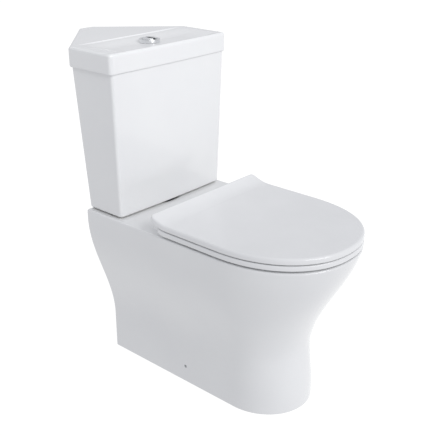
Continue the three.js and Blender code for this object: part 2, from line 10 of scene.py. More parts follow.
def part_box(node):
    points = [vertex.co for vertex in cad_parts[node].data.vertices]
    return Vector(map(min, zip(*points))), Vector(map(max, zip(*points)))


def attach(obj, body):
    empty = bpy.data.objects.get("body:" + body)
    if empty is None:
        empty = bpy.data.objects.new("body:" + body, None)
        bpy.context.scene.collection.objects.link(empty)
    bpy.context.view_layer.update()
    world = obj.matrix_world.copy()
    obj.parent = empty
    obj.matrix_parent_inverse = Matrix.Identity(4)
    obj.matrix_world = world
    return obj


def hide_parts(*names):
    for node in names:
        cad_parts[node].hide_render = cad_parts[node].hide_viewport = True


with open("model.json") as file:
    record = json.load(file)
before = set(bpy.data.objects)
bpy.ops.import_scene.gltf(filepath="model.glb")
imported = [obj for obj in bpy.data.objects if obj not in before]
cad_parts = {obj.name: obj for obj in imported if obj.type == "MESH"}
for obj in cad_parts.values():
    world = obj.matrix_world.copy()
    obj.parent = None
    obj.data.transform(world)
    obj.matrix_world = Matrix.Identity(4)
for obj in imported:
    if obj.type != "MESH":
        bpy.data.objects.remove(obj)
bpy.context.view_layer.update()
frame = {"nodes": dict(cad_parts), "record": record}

# ------------------------------------------------------------------ sizes
SIDES = {"left": -1, "right": 1}

PAN_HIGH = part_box("pan")[1]
SEAT_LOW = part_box("seat_ring")[0]
COVER_LOW, COVER_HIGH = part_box("seat_lid")
DECK = PAN_HIGH.z
RIM_HALF = COVER_HIGH.x  # the seat's edge stands plumb over the rim's
RIM_FRONT = COVER_LOW.y
PAN_BACK = PAN_HIGH.y
BASE_HALF = 0.108
BASE_FRONT = -0.2975
BASE_STRAIGHT = -0.1815  # where the foot's straight sides meet its round front
RIM_STRAIGHT = -0.1835
WAIST = 0.014  # how far the front draws in above the foot
WALL = 0.012  # thickness of the shroud
SHELL = 0.009  # thickness round the trap
DECK_UNDER = DECK - 0.020

TANK_LOW, TANK_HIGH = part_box("cistern_tank")
LID_LOW, LID_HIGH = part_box("cistern_lid")
LID_REST = LID_LOW.z + 0.011  # the rib under the lid reaches lower than its skirt
LID_FOOT = LID_REST - 0.0018  # the skirt hangs just outside the cistern's rim
CREASE_Y = 0.2325
SCOOP_DEPTH = 0.007
LID_HEM = 0.004  # the skirt's lower edge rounds in to the cistern's face
LID_STEP = 0.0022  # and by this much
SCOOP_FLAT = 0.092  # the scoop is flat this far from the middle
SCOOP_EDGE = 0.160

COLLAR_LOW, COLLAR_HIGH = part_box("button_collar")
FLUSH_Y = (COLLAR_LOW.y + COLLAR_HIGH.y) / 2
HINGE_LOW, HINGE_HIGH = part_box("hinge_pin_left")
HINGE_Y = (HINGE_LOW.y + HINGE_HIGH.y) / 2
HINGE_Z = (HINGE_LOW.z + HINGE_HIGH.z) / 2
BARREL = 0.009
STUD_X = 0.0775  # from the middle to each hinge stud
BOLT_X = 0.075  # from the middle to each coupling bolt
FIXING_Y = -0.0315  # the side screws' holes
FIXING_Z = 0.042
WATERWAY = 0.038  # inner radius of the trap
OUTLET_RADIUS = 0.051
SOCKET_RADIUS = 0.045
SEAT_FOOT = SEAT_LOW.z + 0.0006
SEAT_TOP = SEAT_LOW.z + 0.012
COVER_FOOT = SEAT_TOP + 0.0025
COVER_EDGE = SEAT_TOP + 0.015
COVER_RISE = 0.016  # how far the lid sweeps up over the hinges
COVER_SKIN = 0.005
RISE_FROM = -0.052
SHARP_ANGLE = math.radians(32)


# ------------------------------------------------------------------ numbers
def mix(a, b, t):
    return a + (b - a) * t


def ease(value, low, high):
    t = min(max((value - low) / (high - low), 0), 1)
    return t * t * (3 - 2 * t)


def spread(low, high, count):
    """count + 1 numbers from low to high."""
    return [mix(low, high, i / count) for i in range(count + 1)]


def quarter(steps, first=1):
    """(sine, cosine) at even steps through a quarter turn, from its start or the step after."""
    turns = [math.pi / 2 * k / steps for k in range(first, first + steps)]
    return [(math.sin(a), math.cos(a)) for a in turns]


def smooth_rows(rows, steps):
    """A smooth run through rows of numbers, passing through every row."""
    run = []
    last = len(rows) - 1
    for i in range(last):
        near = [rows[min(max(k, 0), last)] for k in (i - 1, i, i + 1, i + 2)]
        for step in range(steps):
            t = step / steps
            run.append([
                0.5 * (2 * b + (c - a) * t + (2 * a - 5 * b + 4 * c - d) * t ** 2
                       + (3 * b - a - 3 * c + d) * t ** 3)
                for a, b, c, d in zip(*near)])
    run.append(list(rows[last]))
    return run


# ------------------------------------------------------------------ mesh making
def tidy_mesh(bm):
    """Merges doubled points and turns every face outwards."""
    bmesh.ops.remove_doubles(bm, verts=bm.verts, dist=1e-6)
    bmesh.ops.recalc_face_normals(bm, faces=bm.faces)
    return bm


def skin(levels):
    """A closed solid over loops of points, one loop after another. All have the same count."""
    columns = len(levels[0])
    rows = len(levels) - 1
    bm = bmesh.new()
    bmesh.ops.create_grid(bm, x_segments=columns, y_segments=rows, size=0.5)
    for v in bm.verts:
        column = round((v.co.x + 0.5) * columns)
        row = round((v.co.y + 0.5) * rows)
        v.co = levels[row][column % columns]
    bmesh.ops.remove_doubles(bm, verts=bm.verts, dist=1e-7)
    rims = [e for e in bm.edges if e.is_boundary]
    if rims:
        bmesh.ops.holes_fill(bm, edges=rims, sides=0)
    return tidy_mesh(bm)


def flat(outline, z):
    """An outline's points at one height."""
    return [Vector((x, y, z)) for x, y in outline]


def prism(outline, low, high):
    return skin([flat(outline, low), flat(outline, high)])


def box(low, high):
    bm = bmesh.new()
    size = Vector(high) - Vector(low)
    bmesh.ops.create_cube(bm, size=1)
    bmesh.ops.scale(bm, vec=size, verts=bm.verts)
    bmesh.ops.translate(bm, vec=(Vector(low) + Vector(high)) / 2, verts=bm.verts)
    return bm


def rod(radius, start, end, sides=48):
    """A cylinder between two points."""
    start, end = Vector(start), Vector(end)
    bm = bmesh.new()
    bmesh.ops.create_cone(bm, cap_ends=True, segments=sides, radius1=radius, radius2=radius,
                          depth=(end - start).length)
    turn = (end - start).to_track_quat("Z", "Y").to_matrix()
    bmesh.ops.rotate(bm, cent=(0, 0, 0), matrix=turn, verts=bm.verts)
    bmesh.ops.translate(bm, vec=(start + end) / 2, verts=bm.verts)
    return bm


def turned(profile, x=0, y=0, sides=64):
    """A turned solid: the profile is (radius, height) pairs in order round its section."""
    bm = bmesh.new()
    verts = [bm.verts.new((r, 0, z)) for r, z in profile]
    edges = [bm.edges.new(pair) for pair in zip(verts, verts[1:])]
    if profile[0][0] > 0:
        edges.append(bm.edges.new((verts[-1], verts[0])))
    bmesh.ops.spin(bm, geom=verts + edges, cent=(0, 0, 0), axis=(0, 0, 1), angle=2 * math.pi,
                   steps=sides, use_merge=True)
    bmesh.ops.remove_doubles(bm, verts=bm.verts, dist=1e-6)
    bmesh.ops.translate(bm, vec=(x, y, 0), verts=bm.verts)
    return tidy_mesh(bm)


def softened(bm, width, segments=2, angle=35):
    """Rounds the edges sharper than an angle."""
    sharp = [e for e in bm.edges if e.is_manifold and e.calc_face_angle(0) > math.radians(angle)]
    bmesh.ops.bevel(bm, geom=sharp, offset=width, offset_type="OFFSET", segments=segments,
                    profile=0.5, affect="EDGES", clamp_overlap=True, material=-1)
    return bm


def as_object(bm, name):
    mesh = bpy.data.meshes.new(name)
    bm.to_mesh(mesh)
    bm.free()
    made = bpy.data.objects.new(name, mesh)
    bpy.context.scene.collection.objects.link(made)
    return made


def worked(base, joins=(), cuts=(), biscuit_cuts=(), keeps=()):
    """base with solids joined to it and cut from it, and only what is inside keeps left.

    Walls left by biscuit_cuts are unglazed."""
    for bm in biscuit_cuts:
        for f in bm.faces:
            f.material_index = 1
    tools = [("UNION", bm) for bm in joins]
    tools += [("DIFFERENCE", bm) for bm in (*biscuit_cuts, *cuts)]
    tools += [("INTERSECT", bm) for bm in keeps]
    body = as_object(base, "work")
    helpers = [body]
    slots = [bpy.data.materials.new("work_slot") for _ in range(2)]
    for material in slots:
        body.data.materials.append(material)
    for operation, bm in tools:
        tool = as_object(bm, "tool")
        helpers.append(tool)
        for material in slots:
            tool.data.materials.append(material)
        step = body.modifiers.new(operation, "BOOLEAN")
        step.operation = operation
        step.solver = "EXACT"
        step.object = tool
    result = body.evaluated_get(bpy.context.evaluated_depsgraph_get())
    bm = bmesh.new()
    bm.from_mesh(result.to_mesh())
    result.to_mesh_clear()
    for o in helpers:
        mesh = o.data
        bpy.data.objects.remove(o)
        bpy.data.meshes.remove(mesh)
    for material in slots:
        bpy.data.materials.remove(material)
    bmesh.ops.remove_doubles(bm, verts=bm.verts, dist=2e-6)
    bmesh.ops.dissolve_degenerate(bm, dist=2e-6, edges=bm.edges)
    return bm


# ------------------------------------------------------------------ outlines
def fillet(corners, steps=8):
    """Corner points (x, y, radius) as a closed outline with its corners rounded."""
    points = []
    for i, (x, y, radius) in enumerate(corners):
        corner = Vector((x, y))
        if radius == 0:
            points.append((x, y))
            continue
        back = (Vector(corners[i - 1][:2]) - corner).normalized()
        ahead = (Vector(corners[(i + 1) % len(corners)][:2]) - corner).normalized()
        half = back.angle(ahead) / 2
        start = corner + back * (radius / math.tan(half))
        centre = corner + (back + ahead).normalized() * (radius / math.sin(half))
        bend = math.pi - 2 * half
        for k in range(steps + 1):
            turn = Matrix.Rotation(bend * k / steps, 2)
            points.append(tuple(centre + turn @ (start - centre)))
    return points


def d_outline(half, back, straight, front, power, corner=0.003, front_steps=110):
    """Straight sides, a square back with small corners, and a rounded front."""
    points = []
    for side in (1, -1):
        centre = (side * (half - corner), back - corner)
        start = 0 if side > 0 else math.pi / 2
        for k in range(5):
            a = start + math.pi / 2 * k / 4
            points.append((centre[0] + corner * math.cos(a), centre[1] + corner * math.sin(a)))
        if side > 0:
            points += [(x, back) for x in spread(half - corner, corner - half, 16)[1:-1]]
    points += [(-half, y) for y in spread(back - corner, straight, 24)[1:]]
    for k in range(1, front_steps):
        a = math.pi * k / front_steps
        across = math.copysign(abs(math.cos(a)) ** (2 / power), math.cos(a))
        points.append((-half * across, straight + (front - straight) * math.sin(a) ** (2 / power)))
    points += [(half, y) for y in spread(straight, back - corner, 24)[:-1]]
    return points


def oval(half, rear, front, sides=96):
    """An ellipse about the middle plane."""
    middle, reach = (rear + front) / 2, (rear - front) / 2
    turns = [2 * math.pi * k / sides for k in range(sides)]
    return [(half * math.cos(a), middle + reach * math.sin(a)) for a in turns]


# the cistern's plan at its foot and head, and the lid's; diagonal is where the backs would meet
FOOT_PLAN = dict(half=0.1655, front=0.1065, diagonal=0.375, tip=0.3545)
HEAD_PLAN = dict(half=0.177, front=0.1015, diagonal=0.4065, tip=0.3865)
LID_PLAN = dict(half=0.182, front=0.0985, diagonal=0.4145, tip=0.3945)
BOW = 0.0035  # how far the front bulges at its middle


def corner_outline(plan, inset=0, radii=(0.012, 0.008, 0.007)):
    """The cistern's plan: bowed front, side returns, 45-degree backs and a cut-off tip."""
    half = plan["half"] - inset
    front = plan["front"] + inset
    diagonal = plan["diagonal"] - inset * math.sqrt(2)
    tip = plan["tip"] - inset
    at_tip, at_side, at_front = radii
    corners = [(diagonal - tip, tip, at_tip), (tip - diagonal, tip, at_tip),
               (-half, diagonal - half, at_side), (-half, front, at_front)]
    for x in spread(-half, half, 26)[1:-1]:
        corners.append((x, front - BOW * (1 - (x / half) ** 2), 0))
    corners += [(half, front, at_front), (half, diagonal - half, at_side)]
    return fillet(corners)


def tank_plan(z):
    t = (z - TANK_LOW.z) / (TANK_HIGH.z - TANK_LOW.z)
    return {key: mix(FOOT_PLAN[key], HEAD_PLAN[key], t) for key in FOOT_PLAN}


# ------------------------------------------------------------------ materials
class Value:
    """A shader socket that Python's operators work on."""

    def __init__(self, tree, socket):
        self.tree = tree
        self.socket = socket

    def _maths(self, operation, *values):
        return self.tree.node("ShaderNodeMath", {"operation": operation},
                              dict(enumerate(values)))

    def __add__(self, other):
        return self._maths("ADD", self, other)

    __radd__ = __add__

    def __mul__(self, other):
        return self._maths("MULTIPLY", self, other)

    __rmul__ = __mul__

    def __sub__(self, other):
        return self._maths("SUBTRACT", self, other)

    def __rsub__(self, other):
        return self._maths("SUBTRACT", other, self)


class Finish:
    """One procedural material and its node tree."""

    def __init__(self, name):
        self.material = bpy.data.materials.new(name)
        self.material.use_nodes = True
        self.nodes = self.material.node_tree.nodes
        self.links = self.material.node_tree.links
        self.shader = self.nodes["Principled BSDF"]
        self.place = self.node("ShaderNodeTexCoord", {}, {}, "Object")

    def node(self, kind, settings, values, output=0):
        """Adds a node: its settings first, then its sockets' values or links."""
        made = self.nodes.new(kind)
        for key, value in settings.items():
            if key == "stops":
                ramp = made.color_ramp
                for element, (at, colour) in zip(ramp.elements, value):
                    element.position, element.color = at, colour
            else:
                setattr(made, key, value)
        for key, value in values.items():
            self.feed(made.inputs[key], value)
        return Value(self, made.outputs[output])

    def feed(self, socket, value):
        if isinstance(value, Value):
            self.links.new(value.socket, socket)
        else:
            socket.default_value = value

    def set(self, **values):
        for key, value in values.items():
            self.feed(self.shader.inputs[key.replace("_", " ")], value)

    def noise(self, scale, detail=3, stretch=(1, 1, 1), roughness=0.5):
        placed = self.node("ShaderNodeMapping", {}, {"Vector": self.place, "Scale": stretch})
        return self.node("ShaderNodeTexNoise", {}, {
            "Vector": placed, "Scale": scale, "Detail": detail, "Roughness": roughness})

    def tint(self, factor, first, second):
        stops = [(0.3, (*first, 1)), (0.7, (*second, 1))]
        return self.node("ShaderNodeValToRGB", {"stops": stops}, {"Fac": factor})

    def bump(self, height, strength, distance=0.001):
        return self.node("ShaderNodeBump", {}, {
            "Height": height, "Strength": strength, "Distance": distance})


def glaze():
    """Vitreous china: a clear wet glaze over a faintly uneven white body."""
    f = Finish("china_glaze")
    cloud = f.noise(7, 3)
    speck = f.noise(260, 2)
    f.set(Base_Color=f.tint(cloud, (0.785, 0.79, 0.80), (0.81, 0.815, 0.82)),
          Roughness=0.07 + 0.05 * cloud,
          Specular_IOR_Level=0.5, Coat_Weight=0.35, Coat_Roughness=0.03)
    waves = f.noise(22, 2) + 0.12 * speck
    f.set(Normal=f.bump(waves, 0.035))
    return f.material


def biscuit():
    """The same china where no glaze was sprayed: matt, warmer, faintly gritty."""
    f = Finish("china_unglazed")
    grit = f.noise(420, 4)
    f.set(Base_Color=f.tint(f.noise(14, 3), (0.70, 0.68, 0.63), (0.78, 0.76, 0.71)),
          Roughness=0.72 + 0.16 * grit, Normal=f.bump(grit, 0.25, 0.0005))
    return f.material


def moulding():
    """The seat's gloss white thermoset, a little softer in its shine than the china."""
    f = Finish("seat_moulding")
    cloud = f.noise(11, 2)
    f.set(Base_Color=f.tint(cloud, (0.79, 0.795, 0.805), (0.81, 0.815, 0.825)),
          Roughness=0.16 + 0.06 * cloud, Coat_Weight=0.2, Coat_Roughness=0.08,
          Normal=f.bump(f.noise(90, 2), 0.02))
    return f.material


def plate():
    """Bright chrome plate with faint smears."""
    f = Finish("chrome_plate")
    smear = f.noise(70, 4, (1, 1, 0.3))
    f.set(Base_Color=f.tint(smear, (0.78, 0.79, 0.80), (0.86, 0.87, 0.88)), Metallic=1.0,
          Roughness=0.14 + 0.10 * smear, Normal=f.bump(f.noise(500, 2), 0.02))
    return f.material


def drawn_metal(name, dark, light, roughness=0.28):
    """Bar stock with fine lines left by drawing and turning."""
    f = Finish(name)
    lines = f.noise(900, 3, (1, 1, 0.08))
    f.set(Base_Color=f.tint(lines, dark, light), Metallic=1.0,
          Roughness=roughness + 0.18 * lines, Normal=f.bump(lines, 0.10, 0.0004))
    return f.material


def rubber(name, dark, light):
    """Moulded rubber with a fine matt grain."""
    f = Finish(name)
    grain = f.noise(650, 3)
    f.set(Base_Color=f.tint(f.noise(40, 3), dark, light),
          Roughness=0.55 + 0.25 * grain, Normal=f.bump(grain, 0.18, 0.0004))
    return f.material


def fitting(name, dark, light):
    """Moulded plastic with a fine spark-eroded texture."""
    f = Finish(name)
    grain = f.noise(1100, 2)
    f.set(Base_Color=f.tint(f.noise(30, 3), dark, light),
          Roughness=0.38 + 0.18 * grain, Normal=f.bump(grain, 0.12, 0.0003))
    return f.material


GLAZE = glaze()
BISCUIT = biscuit()
FINISHES = {
    "china": GLAZE,
    "seat_plastic": moulding(),
    "chrome_plate": plate(),
    "steel": drawn_metal("stainless_steel", (0.50, 0.51, 0.52), (0.64, 0.65, 0.66)),
    "brass": drawn_metal("turned_brass", (0.60, 0.45, 0.19), (0.74, 0.58, 0.28), 0.25),
    "rubber": rubber("sealing_rubber", (0.018, 0.018, 0.02), (0.035, 0.035, 0.038)),
    "clear_rubber": rubber("buffer_rubber", (0.66, 0.68, 0.69), (0.76, 0.77, 0.78)),
    "white_fitting": fitting("white_fitting", (0.72, 0.72, 0.69), (0.79, 0.79, 0.77)),
    "blue_fitting": fitting("blue_fitting", (0.045, 0.14, 0.30), (0.07, 0.19, 0.38)),
    "grey_fitting": fitting("grey_fitting", (0.24, 0.25, 0.27), (0.31, 0.32, 0.34)),
}

SLOT_OF = {part["node"]: part["material_slot"] for part in frame["record"]["subparts"]}
BODY_OF = {node: body for body, nodes in frame["record"]["behaviour"]["bodies"].items()
           for node in nodes}


def stand_in(node, bm, materials=None):
    """A finished piece for a CAD node, on the node's body: smooth but for its sharp edges."""
    for f in bm.faces:
        f.smooth = True
    for e in bm.edges:
        e.smooth = e.is_manifold and e.calc_face_angle(0) < SHARP_ANGLE
    slot = SLOT_OF[node]
    made = as_object(bm, f"{node}_shape")
    for material in materials or [FINISHES[slot]]:
        made.data.materials.append(material)
    level = made.modifiers.new("even normals", "WEIGHTED_NORMAL")
    level.keep_sharp = True
    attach(made, BODY_OF[node])
    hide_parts(node)


def unglazed_below(bm, height):
    """Marks the downward faces under a height as bare china."""
    for f in bm.faces:
        if f.normal.z < -0.95 and f.calc_center_median().z < height:
            f.material_index = 1


# ------------------------------------------------------------------ pan
def pan_outline(z, wall=0, back=PAN_BACK, corner=0.003):
    """The foot grows out to the rim: the sides lower down, the front higher up."""
    side = ease(z, 0.095, 0.380)
    nose = ease(z, 0.130, 0.440) / ease(DECK, 0.130, 0.440)
    half = mix(BASE_HALF, RIM_HALF, side) - wall
    front = (BASE_FRONT + WAIST * ease(z, 0.020, 0.150)
             + (RIM_FRONT - BASE_FRONT - WAIST) * nose + wall)
    straight = mix(BASE_STRAIGHT, RIM_STRAIGHT, side)
    return d_outline(half, back, straight, front, mix(2, 2.15, side), corner)


# height, half width, rear and front of the bowl's inside, from the floor of the sump
BOWL = [
    (0.076, 0.022, -0.108, -0.146), (0.082, 0.034, -0.100, -0.160),
    (0.098, 0.041, -0.095, -0.168), (0.130, 0.045, -0.092, -0.176),
    (0.190, 0.060, -0.088, -0.212), (0.240, 0.088, -0.080, -0.266),
    (0.290, 0.116, -0.068, -0.314), (0.335, 0.132, -0.060, -0.349),
    (0.362, 0.136, -0.057, -0.363), (0.372, 0.134, -0.059, -0.364),
    (0.377, 0.129, -0.064, -0.3605), (0.386, 0.1275, -0.0655, -0.3595),
    (0.3955, 0.128, -0.065, -0.360), (0.3988, 0.1295, -0.0635, -0.3615),
    (0.4000, 0.1330, -0.060, -0.3650),
]
TRAP = [(-0.128, 0.112), (-0.082, 0.112), (-0.030, 0.150), (0.018, 0.212), (0.060, 0.240),
        (0.102, 0.220), (0.140, 0.194), (0.1815, 0.190)]
OUTLET = (0, 0.1835, 0.190)


def pipe(radius, route, sides=48):
    """A round pipe along a smooth route of (y, z) points in the middle plane."""
    points = [Vector((0, y, z)) for y, z in smooth_rows(route, 6)]
    levels = []
    for i, point in enumerate(points):
        along = (points[min(i + 1, len(points) - 1)] - points[max(i - 1, 0)]).normalized()
        across = Vector((1, 0, 0))
        up = along.cross(across)
        turns = [2 * math.pi * k / sides for k in range(sides)]
        levels.append([point + radius * (across * math.cos(a) + up * math.sin(a)) for a in turns])
    return skin(levels)


def through_deck(radius, x, y):
    return rod(radius, (x, y, 0.370), (x, y, 0.401))


def make_pan():
    """The shrouded casting: outer skin, bowl, flushing duct, trap, outlet and fixing holes."""
    edge = 0.0045
    levels = [flat(pan_outline(0, 0.0015), 0.0), flat(pan_outline(0.0004, 0.0004), 0.0006)]
    levels += [flat(pan_outline(z), z) for z in spread(0.0018, DECK - edge, 60)]
    for sine, cosine in quarter(6):
        inset = edge * (1 - cosine)
        z = DECK - edge * (1 - sine)
        levels.append(flat(pan_outline(z, inset, PAN_BACK - inset * 0.6), z))
    inside = [flat(pan_outline(max(z, 0), WALL, PAN_BACK + 0.02), z)
              for z in spread(-0.001, DECK_UNDER, 30)]
    bowl = smooth_rows(BOWL, 3)
    bowl_cut = [flat(oval(h, rear, front), z) for z, h, rear, front in bowl]
    last = BOWL[-1]
    bowl_cut.append(flat(oval(last[1] + 0.0004, last[2] + 0.0004, last[3] - 0.0004), DECK + 0.002))
    shell = [flat(oval(h + 0.011, rear + 0.011, front - 0.011), z - 0.011 * (z < 0.0765))
             for z, h, rear, front in bowl if z < 0.375]
    joins = [
        skin(shell),
        box((-0.044, -0.060, 0.331), (0.044, 0.206, 0.385)),
        pipe(WATERWAY + SHELL, TRAP),
        rod(OUTLET_RADIUS, (0, 0.120, OUTLET[2]), OUTLET, 72),
    ]
    cuts = [
        skin(bowl_cut),
        box((-0.035, -0.075, 0.340), (0.035, 0.202, DECK_UNDER)),
        pipe(WATERWAY, TRAP),
        rod(SOCKET_RADIUS, (0, 0.146, OUTLET[2]), (0, OUTLET[1] + 0.005, OUTLET[2]), 72),
        rod(0.030, (0, FLUSH_Y, 0.350), (0, FLUSH_Y, DECK + 0.001), 72),
        rod(0.066, (0, FLUSH_Y, DECK - 0.006), (0, FLUSH_Y, DECK + 0.001), 96),
    ]
    for side in (-1, 1):
        cuts.append(through_deck(0.006, side * BOLT_X, FLUSH_Y))
        cuts.append(through_deck(0.007, side * STUD_X, HINGE_Y))
        cuts.append(rod(0.004, (side * 0.080, FIXING_Y, FIXING_Z), (side * 0.120, FIXING_Y, FIXING_Z)))
    bm = worked(skin(levels), biscuit_cuts=[skin(inside)])
    bm = worked(bm, joins=joins)
    bm = worked(bm, cuts=cuts)
    unglazed_below(bm, 0.002)
    stand_in("pan", bm, [GLAZE, BISCUIT])


# ------------------------------------------------------------------ cistern
def rounded(plan_at, low, high, foot, head, steps=6, rows=14):
    """Levels of a walled piece with rounded lower and upper edges of the given radii."""
    levels = [(low + foot * (1 - cosine), foot * (1 - sine)) for sine, cosine in quarter(steps, 0)]
    levels += [(z, 0) for z in spread(low + foot, high - head, rows)]
    levels += [(high - head * (1 - sine), head * (1 - cosine)) for sine, cosine in quarter(steps)]
    return [flat(corner_outline(plan_at(z), inset), z) for z, inset in levels]


def make_tank():
    """The cistern: a tapered shell with its outlet, bolt and inlet holes."""
    low, high = TANK_LOW.z, TANK_HIGH.z
    floor = low + 0.014
    outside = skin(rounded(tank_plan, low, high, 0.005, 0.0004))
    inside = skin([flat(corner_outline(tank_plan(z), 0.010, (0.010, 0.010, 0.012)), z)
                   for z in (floor, floor + 0.1, high + 0.001)])
    drill = [(0, FLUSH_Y, 0.029), (BOLT_X, FLUSH_Y, 0.006), (-BOLT_X, FLUSH_Y, 0.006),
             (0.080, 0.2445, 0.011)]
    holes = [rod(r, (x, y, low - 0.001), (x, y, floor + 0.001), 64) for x, y, r in drill]
    bm = worked(outside, cuts=[inside, *holes])
    unglazed_below(bm, low + 0.002)
    stand_in("cistern_tank", bm, [GLAZE, BISCUIT])


def scoop(x, y):
    """How far the lid's top lies below its highest level: shallow behind, deeper in front."""
    out = min(max((abs(x) - SCOOP_FLAT) / (SCOOP_EDGE - SCOOP_FLAT), 0), 1)
    riser = 1 - ease(y, CREASE_Y - 0.0045, CREASE_Y + 0.0005)
    lip = ease(y, LID_PLAN["front"] + 0.004, LID_PLAN["front"] + 0.022)
    depth = mix(SCOOP_DEPTH, 0.0021, ease(y, FLUSH_Y, CREASE_Y))
    return depth * (1 - out ** 2.2) * riser * lip


def scooped_sheet(outline, top):
    """The lid's upper face as a fine sheet, trimmed to a convex outline."""
    half = LID_PLAN["half"]
    slope = sorted(spread(SCOOP_EDGE, half, 12) + spread(SCOOP_FLAT, SCOOP_EDGE, 34)[:-1])
    xs = [-x for x in reversed(slope)] + spread(-SCOOP_FLAT, SCOOP_FLAT, 60)[1:-1] + slope
    ys = spread(LID_PLAN["front"] - 0.004, CREASE_Y - 0.004, 56)
    ys += spread(CREASE_Y - 0.0035, CREASE_Y + 0.0005, 8)
    ys += spread(CREASE_Y + 0.003, LID_PLAN["tip"], 56)
    bm = bmesh.new()
    bmesh.ops.create_grid(bm, x_segments=len(xs) - 1, y_segments=len(ys) - 1, size=0.5)
    for v in bm.verts:
        column = round((v.co.x + 0.5) * (len(xs) - 1))
        row = round((v.co.y + 0.5) * (len(ys) - 1))
        v.co = (xs[column], ys[row], 0)
    for here, there in zip(outline, outline[1:] + outline[:1]):
        along = Vector((*there, 0)) - Vector((*here, 0))
        if along.length < 1e-6:
            continue
        along.normalize()
        bmesh.ops.bisect_plane(bm, geom=bm.verts[:] + bm.edges[:] + bm.faces[:], dist=1e-7,
                               plane_co=(*here, 0), plane_no=(along.y, -along.x, 0),
                               clear_outer=True)
    bmesh.ops.remove_doubles(bm, verts=bm.verts, dist=2e-5)
    for v in bm.verts:
        v.co.z = top - scoop(v.co.x, v.co.y)
    return bm


def grow_skirt(bm, section, top):
    """Turns a sheet's rim down into a skirt; the section is (outwards, height) pairs."""
    rim = [e for e in bm.edges if e.is_boundary]
    outward = {v: Vector() for e in rim for v in e.verts}
    for e in rim:
        first, second = e.verts
        normal = (second.co - first.co).cross(Vector((0, 0, 1))).normalized()
        if normal.dot(e.link_faces[0].calc_center_median() - first.co) > 0:
            normal.negate()
        outward[first] += normal
        outward[second] += normal
    home = {v: (v.co.copy(), normal.normalized()) for v, normal in outward.items()}
    for out, height in section:
        grown = bmesh.ops.extrude_edge_only(bm, edges=rim)["geom"]
        fresh = {v for v in grown if isinstance(v, bmesh.types.BMVert)}
        rim = [e for e in grown if isinstance(e, bmesh.types.BMEdge) and fresh.issuperset(e.verts)]
        moved = {}
        for v in fresh:
            moved[v] = next(home[e.other_vert(v)] for e in v.link_edges if e.other_vert(v) in home)
            place, normal = moved[v]
            v.co = (place.x + normal.x * out, place.y + normal.y * out, top + height)
        home = moved
    bmesh.ops.holes_fill(bm, edges=rim, sides=0)
    return tidy_mesh(bm)


def make_cistern_lid():
    """The lid: scooped top, skirt over the cistern's rim, and a locating rib underneath."""
    top = LID_HIGH.z
    edge = 0.007
    section = [(edge * sine, -edge * (1 - cosine)) for sine, cosine in quarter(6)]
    section += [(edge, -z) for z in spread(edge, top - LID_FOOT - LID_HEM, 6)[1:]]
    section += [(edge - LID_STEP * (1 - cosine), LID_FOOT - top + LID_HEM * (1 - sine))
                for sine, cosine in quarter(6)]
    sheet = scooped_sheet(corner_outline(LID_PLAN, edge, (0.002, 0.003, 0.002)), top)
    bm = grow_skirt(sheet, section, top)
    rebate = prism(corner_outline(HEAD_PLAN, -0.0003), LID_FOOT - 0.001, LID_REST)
    hollow = prism(corner_outline(LID_PLAN, 0.025), LID_REST - 0.012, 0.759)
    rib = prism(corner_outline(LID_PLAN, 0.020), LID_REST - 0.011, LID_REST + 0.005)
    hole = rod(0.020, (0, FLUSH_Y, 0.758), (0, FLUSH_Y, top), 72)
    bm = worked(worked(bm, biscuit_cuts=[rebate]), joins=[rib])
    bm = worked(bm, cuts=[hole], biscuit_cuts=[hollow])
    stand_in("cistern_lid", bm, [GLAZE, BISCUIT])


# ------------------------------------------------------------------ seat
def seat_outline(inset=0, rear=COVER_HIGH.y, corner=0.009):
    return d_outline(RIM_HALF - inset, rear - inset, RIM_STRAIGHT, RIM_FRONT + inset, 2.15, corner)


def sweep(y, rise, start, end, power=1.7):
    """A curve that lifts off smoothly at start and has risen fully at end."""
    return rise * min(max((y - start) / (end - start), 0), 1.15) ** power


def facing(outline, half, rear, front):
    """The points of an oval that face the points of an outline round it."""
    centre = Vector((0, (rear + front) / 2))
    reach = (rear - front) / 2
    out = []
    for x, y in outline:
        away = Vector((x, y)) - centre
        out.append(centre + away / math.hypot(away.x / half, away.y / reach))
    return [tuple(v) for v in out]


def between(first, second, t):
    return [(mix(a[0], b[0], t), mix(a[1], b[1], t)) for a, b in zip(first, second)]


def along_x(profile, x0, x1, steps=1):
    """A bar along X with a (y, z) section."""
    return skin([[Vector((x, y, z)) for y, z in profile] for x in spread(x0, x1, steps)])


def hub_rod(radius, x0, x1, sides=64):
    return rod(radius, (x0, HINGE_Y, HINGE_Z), (x1, HINGE_Y, HINGE_Z), sides)


CHEEK = 0.0045  # the lid's side walls come down outside the seat's hubs
HUB_MIDDLE = 0.057
HUB_FROM = 0.122
HUBS = [(CHEEK - RIM_HALF, -HUB_FROM), (-HUB_MIDDLE, HUB_MIDDLE), (HUB_FROM, RIM_HALF - CHEEK)]
KNUCKLE = (0.098, 0.120)  # the lid's, from the middle outwards
POST = (0.059, 0.096)
PIN_HOLE = 0.0043
GAP_FRONT = -0.0335  # the ring is cut back to here where the posts and knuckles sit
RING_END = -0.0142  # clear of the lid's side walls as they swing
LIFT_FROM = -0.0420  # from here the ring's rear ends sweep up
CORNER = 0.009


def ring_lift(y):
    """How far the ring's rear ends sweep up towards the hinge."""
    return sweep(y, 0.0062, LIFT_FROM, RING_END, 2)


